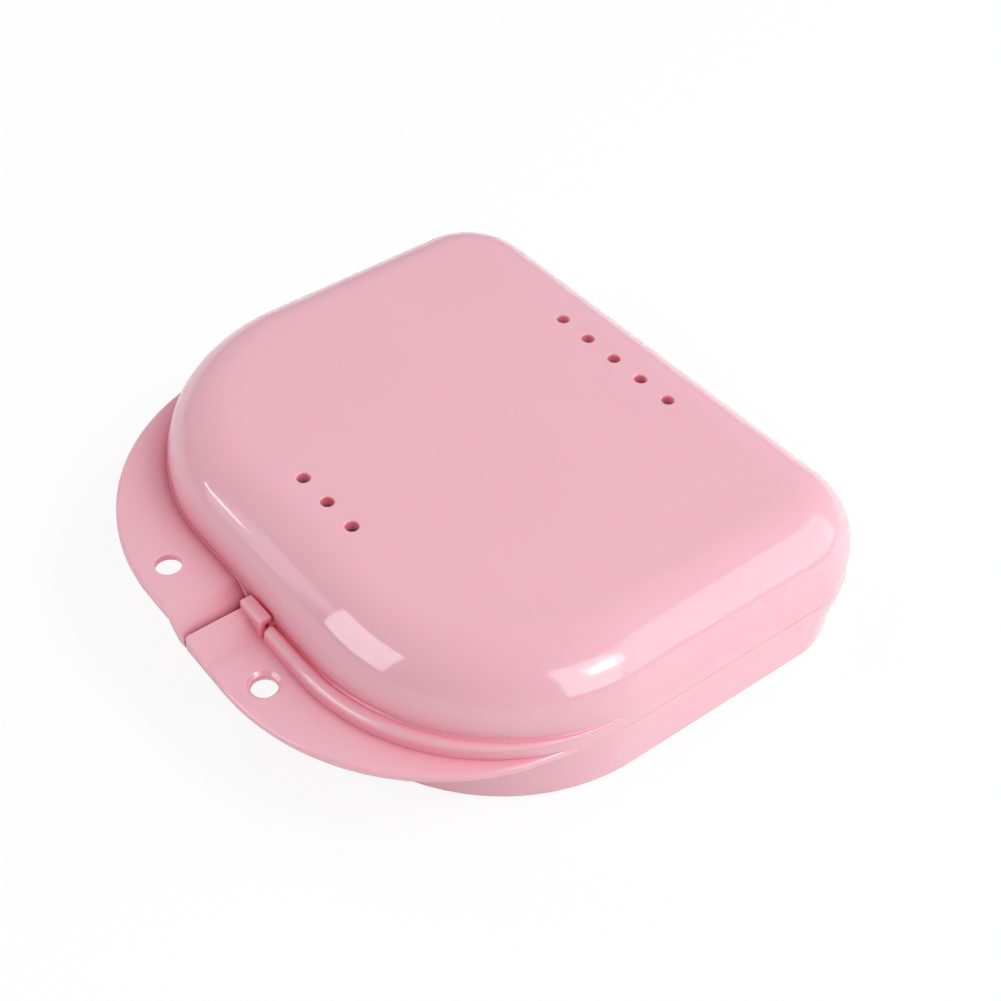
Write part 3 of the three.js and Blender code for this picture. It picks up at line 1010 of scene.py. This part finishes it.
class Graph:
    """The nodes of a material or of the world."""

    def __init__(self, owner):
        self.tree = owner.node_tree
        self.tree.nodes.clear()

    def node(self, kind, settings=None, inputs=None, output=0):
        """Adds a node, sets it up, gives its sockets values or links, and wraps one output."""
        made = self.tree.nodes.new(kind)
        for key, value in (settings or {}).items():
            setattr(made, key, value)
        for key, value in (inputs or {}).items():
            if isinstance(value, Value):
                self.tree.links.new(value.socket, made.inputs[key])
            else:
                made.inputs[key].default_value = value
        return Value(self, made.outputs[output]) if made.outputs else None

    def mix(self, share, first, second):
        """Mixes two colours."""
        return self.node("ShaderNodeMix", {"data_type": "RGBA"}, {0: share, 6: first, 7: second},
                         output=2)

    def along(self, place, axis):
        """One of the three numbers of a place."""
        return self.node("ShaderNodeSeparateXYZ", {}, {0: place}, output=axis)

    def share(self, value, start, end):
        """Nought up to the start, one from the end on, and even between them."""
        return self.node("ShaderNodeMapRange", {},
                         {"Value": value, "From Min": start, "From Max": end})

    def unblocked(self, reach):
        """The share of directions in which nothing lies within reach."""
        return self.node("ShaderNodeAmbientOcclusion", {"samples": 8}, {"Distance": reach}, output=1)


def plastic(case):
    """Glossy moulded polypropylene: faint clouds of colour, a fine skin and a little glow.

    Creases take a deeper colour as painted shade, by how open they are within a long reach. Left of the
    hook, the tight ones take a dark painted shade too, by how open they are within a short reach, and a
    painted shadow in the split.
    """
    finish = case.finish
    material = bpy.data.materials.new(PLASTIC)
    material.use_nodes = True
    graph = Graph(material)
    place = graph.node("ShaderNodeTexCoord", output="Object")
    clouds = graph.node("ShaderNodeTexNoise", {}, {"Vector": place, "Scale": 0.06 / MM, "Detail": 3.0})
    skin = graph.node("ShaderNodeTexNoise", {}, {"Vector": place, "Scale": 1.1 / MM, "Detail": 2.0})
    sideways, height = graph.along(place, 0), graph.along(place, 2)
    below_rim = graph.share(height, *BELOW_RIM)
    above_wing = graph.share(height, *ABOVE_WING)
    right_of_split = graph.share(sideways, *RIGHT_OF_SPLIT)
    # Painted shade: nought where a crease closes in within the long reach, but one below the rim
    free_of_crease_shade = graph.share(graph.unblocked(finish.crease_reach), *CREASE_SHADE_OPEN).either(below_rim)
    # Painted shade: nought in the tight creases near the wing left of the split, one above the wing and
    # below the rim
    free_of_depth_shade = graph.share(graph.unblocked(finish.depth_reach), *DEPTH_SHADE_OPEN)
    free_of_depth_shade = free_of_depth_shade.either(above_wing).either(right_of_split).either(below_rim)
    tint = graph.mix(clouds, (*finish.pink, 1), (*finish.deep, 1))
    # Mixes in the painted crease shade
    tint = graph.mix(free_of_crease_shade, (*finish.crease, 1), tint)
    # The dark painted shade turns into a painted shadow beside the split, and is mixed in where creases
    # are tight
    beside_split = graph.share(sideways, *BESIDE_SPLIT)
    tint = graph.mix(free_of_depth_shade, graph.mix(beside_split, (*finish.depth, 1), (*finish.split, 1)), tint)
    bump = graph.node("ShaderNodeBump", {}, {"Height": skin, "Strength": 0.05, "Distance": 0.02 * MM})
    shader = graph.node("ShaderNodeBsdfPrincipled", {"subsurface_method": "RANDOM_WALK"}, {
        "Base Color": tint,
        "Roughness": finish.roughness + 0.03 * (clouds - 0.5),
        "Normal": bump,
        "IOR": 1.49,
        "Subsurface Weight": finish.glow,
        "Subsurface Radius": (1.0, 0.3, 0.25),
        "Subsurface Scale": finish.glow_depth,
    })
    graph.node("ShaderNodeOutputMaterial", {}, {"Surface": shader})
    return material


def shared_plastic(case):
    """The one plastic that all pieces are moulded in."""
    return bpy.data.materials.get(PLASTIC) or plastic(case)


def dress(piece, body, *nodes):
    """Rides a piece on its body and hides the solids it stands for."""
    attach(piece, body)
    if nodes:
        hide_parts(*nodes)


# Studio


def floor_material(case):
    """Pale floor that looks nearly white to the camera, with a soft shadow."""
    material = bpy.data.materials.new("floor")
    material.use_nodes = True
    graph = Graph(material)
    path = graph.node("ShaderNodeLightPath", output="Is Camera Ray")
    diffuse = graph.node("ShaderNodeBsdfDiffuse", {}, {"Color": (*case.stage.floor, 1)})
    glow = graph.node("ShaderNodeEmission", {}, {"Color": (1, 1, 1, 1), "Strength": 1.0})
    mixed = graph.node("ShaderNodeMixShader", {}, {0: 0.88 * path, 1: diffuse, 2: glow})
    graph.node("ShaderNodeOutputMaterial", {}, {"Surface": mixed})
    return material


def direction(azimuth, elevation):
    """From the case towards a camera or lamp. Azimuth 0 is in front, and 90 degrees to the right."""
    return Vector((math.sin(azimuth) * math.cos(elevation),
                   -math.cos(azimuth) * math.cos(elevation), math.sin(elevation)))


WHITE = (1, 1, 1)
LAMP_AIM = Vector((0, 0, 10 * MM))
# Name, azimuth and elevation in degrees, distance, width and height in metres, radiance and tint
DIFFUSE_LAMPS = (
    ("main", 125, 50, 0.6, 0.3, 0.3, 5.8, (0.95, 1, 1)),
    ("back", 170, 50, 0.6, 0.3, 0.3, 2.6, WHITE),
    ("left", -85, 26, 0.6, 0.3, 0.3, 3.0, (0.97, 1, 1)),
    ("front_fill", -20, 30, 0.6, 0.3, 0.3, 3.2, (1, 0.93, 0.98)),
    ("camera_fill", 48, 45, 0.6, 0.3, 0.3, 2.0, (1, 0.95, 0.95)),
    ("right_fill", 95, 8, 0.5, 0.5, 0.25, 1.2, WHITE),
    ("right_back", 145, 12, 0.5, 0.3, 0.25, 3.6, WHITE),
)
GLOSSY_LAMPS = (
    ("right_near", 92, 25, 0.5, 0.22, 0.36, 4.4, WHITE),
    ("right_far", 131, 25, 0.5, 0.46, 0.36, 2.3, WHITE),
    ("right_spot", 100, 29, 0.48, 0.07, 0.045, 30, WHITE),
    ("right_glow", 101, 30, 0.5, 0.15, 0.11, 6, WHITE),
    ("front", -13, 22, 0.5, 0.3, 0.3, 5.4, (0.93, 0.95, 1)),
    ("front_dim", -36.5, 14, 0.5, 0.07, 0.22, 1.8, (0.93, 0.9, 1)),
    ("front_line", -41.3, 12.5, 0.5, 0.062, 0.025, 8.5, WHITE),
)


def softbox(name, azimuth, elevation, distance, width, height, radiance, tint, rays):
    """An area light that faces the case from an azimuth and elevation, for one kind of rays."""
    light = bpy.data.lights.new(name, "AREA")
    light.shape = "RECTANGLE"
    light.size, light.size_y = width, height
    light.energy = radiance * math.pi * width * height
    light.color = tint
    lamp = bpy.data.objects.new(name, light)
    back = direction(math.radians(azimuth), math.radians(elevation))
    lamp.location = LAMP_AIM + back * distance
    lamp.rotation_mode = "QUATERNION"
    lamp.rotation_quaternion = (-back).to_track_quat("-Z", "Y")
    lamp.visible_diffuse = rays == "diffuse"
    lamp.visible_glossy = rays == "glossy"
    bpy.context.scene.collection.objects.link(lamp)


def add_camera(stage):
    """The camera at the photograph's place and angle."""
    camera = bpy.data.objects.new("camera", bpy.data.cameras.new("camera"))
    back = direction(stage.azimuth, stage.elevation)
    camera.location = Vector((stage.look_x, stage.look_y, stage.look_z)) + back * stage.distance
    camera.rotation_mode = "QUATERNION"
    upright = (-back).to_track_quat("-Z", "Y")
    camera.rotation_quaternion = upright @ Quaternion((0, 0, 1), stage.roll)
    camera.data.lens = stage.lens
    camera.data.sensor_width = 36
    camera.data.clip_start = 10 * MM
    camera.data.clip_end = 10
    bpy.context.scene.collection.objects.link(camera)
    bpy.context.scene.camera = camera


def add_world():
    """Surroundings that are a little brighter overhead than at the horizon, and white to the camera."""
    world = bpy.data.worlds.new("studio")
    world.use_nodes = True
    graph = Graph(world)
    path = graph.node("ShaderNodeLightPath", output="Is Camera Ray")
    height = graph.along(graph.node("ShaderNodeTexCoord", output="Generated"), 2)
    climb = graph.node("ShaderNodeMapRange", {"interpolation_type": "SMOOTHSTEP"},
                       {"Value": height, "From Min": 0.1, "From Max": 1.0, "To Min": 0.25, "To Max": 0.27})
    around = graph.node("ShaderNodeBackground", {}, {"Color": (1, 1, 1, 1), "Strength": climb})
    white = graph.node("ShaderNodeBackground", {}, {"Color": (1, 1, 1, 1), "Strength": 1.0})
    mixed = graph.node("ShaderNodeMixShader", {}, {0: path, 1: around, 2: white})
    graph.node("ShaderNodeOutputWorld", {}, {"Surface": mixed})
    bpy.context.scene.world = world


def add_floor(case):
    """A wide flat floor under the case."""
    half = 2.0
    corners = [(-half, -half, 0), (half, -half, 0), (half, half, 0), (-half, half, 0)]
    mesh = bpy.data.meshes.new("floor")
    mesh.from_pydata(corners, [], [(0, 1, 2, 3)])
    mesh.materials.append(floor_material(case))
    floor = bpy.data.objects.new("floor", mesh)
    bpy.context.scene.collection.objects.link(floor)


# Operators


def build(context, name, body, surface, *nodes):
    """Makes one piece from its surface and dresses it."""
    case = context.scene.denture_case
    dress(surface(case, Places(case)).piece(name, shared_plastic(case)), body, *nodes)


class DENTURE_OT_lid(bpy.types.Operator):
    """Builds the lid: one closed moulding with its wing, bead, ledge and air holes"""

    bl_idname = "denture.lid"
    bl_label = "Lid"

    def execute(self, context):
        build(context, "lid_shell", "lid", lid_surface, "lid")
        return {"FINISHED"}


class DENTURE_OT_tray(bpy.types.Operator):
    """Builds the tray: one closed moulding with its band, lip, wing and rib"""

    bl_idname = "denture.tray"
    bl_label = "Tray"

    def execute(self, context):
        build(context, "tray_shell", "tray", tray_surface, "tray")
        return {"FINISHED"}


class DENTURE_OT_hook(bpy.types.Operator):
    """Builds the snap hook that stands on the tray's wing"""

    bl_idname = "denture.hook"
    bl_label = "Snap hook"

    def execute(self, context):
        build(context, "snap_hook", "tray", hook_surface)
        return {"FINISHED"}


class DENTURE_OT_hinges(bpy.types.Operator):
    """Builds the hinges: clips on the lid, and ears and pins on the tray"""

    bl_idname = "denture.hinges"
    bl_label = "Hinges"

    def execute(self, context):
        build(context, "hinge_clips", "lid", clip_surface)
        build(context, "hinge_ears", "tray", ear_surface)
        build(context, "hinge_pins", "tray", pin_surface)
        return {"FINISHED"}


class DENTURE_OT_stage(bpy.types.Operator):
    """Sets up the camera, the floor, the surroundings and the lamps"""

    bl_idname = "denture.stage"
    bl_label = "Stage"

    def execute(self, context):
        case = context.scene.denture_case
        context.scene.view_settings.view_transform = "Standard"
        add_camera(case.stage)
        add_world()
        add_floor(case)
        for rays, lamps in (("diffuse", DIFFUSE_LAMPS), ("glossy", GLOSSY_LAMPS)):
            for lamp in lamps:
                softbox(*lamp, rays)
        return {"FINISHED"}


OPERATORS = (DENTURE_OT_lid, DENTURE_OT_tray, DENTURE_OT_hook, DENTURE_OT_hinges, DENTURE_OT_stage)
GROUPS = (BodySettings, LidSettings, TraySettings, WingSettings, HookSettings, HingeSettings,
          FinishSettings, StageSettings, DentureCase)


class DENTURE_PT_case(bpy.types.Panel):
    """Lists the steps that build the case, and its sizes"""

    bl_idname = "DENTURE_PT_case"
    bl_label = "Denture case"
    bl_space_type = "VIEW_3D"
    bl_region_type = "UI"
    bl_category = "Denture case"

    def draw(self, context):
        case = context.scene.denture_case
        for operator in OPERATORS:
            self.layout.operator(operator.bl_idname)
        for part in case.bl_rna.properties:
            if part.type != "POINTER" or part.identifier == "rna_type":
                continue
            box = self.layout.box()
            group = getattr(case, part.identifier)
            for size in group.bl_rna.properties:
                if size.identifier not in ("rna_type", "name"):
                    box.prop(group, size.identifier)


def register():
    for group in (*GROUPS, *OPERATORS, DENTURE_PT_case):
        bpy.utils.register_class(group)
    bpy.types.Scene.denture_case = PointerProperty(type=DentureCase)


def unregister():
    del bpy.types.Scene.denture_case
    for group in reversed((*GROUPS, *OPERATORS, DENTURE_PT_case)):
        bpy.utils.unregister_class(group)


def main():
    register()
    bpy.ops.denture.lid()
    bpy.ops.denture.tray()
    bpy.ops.denture.hook()
    bpy.ops.denture.hinges()
    bpy.ops.denture.stage()


if __name__ == "__main__":
    main()
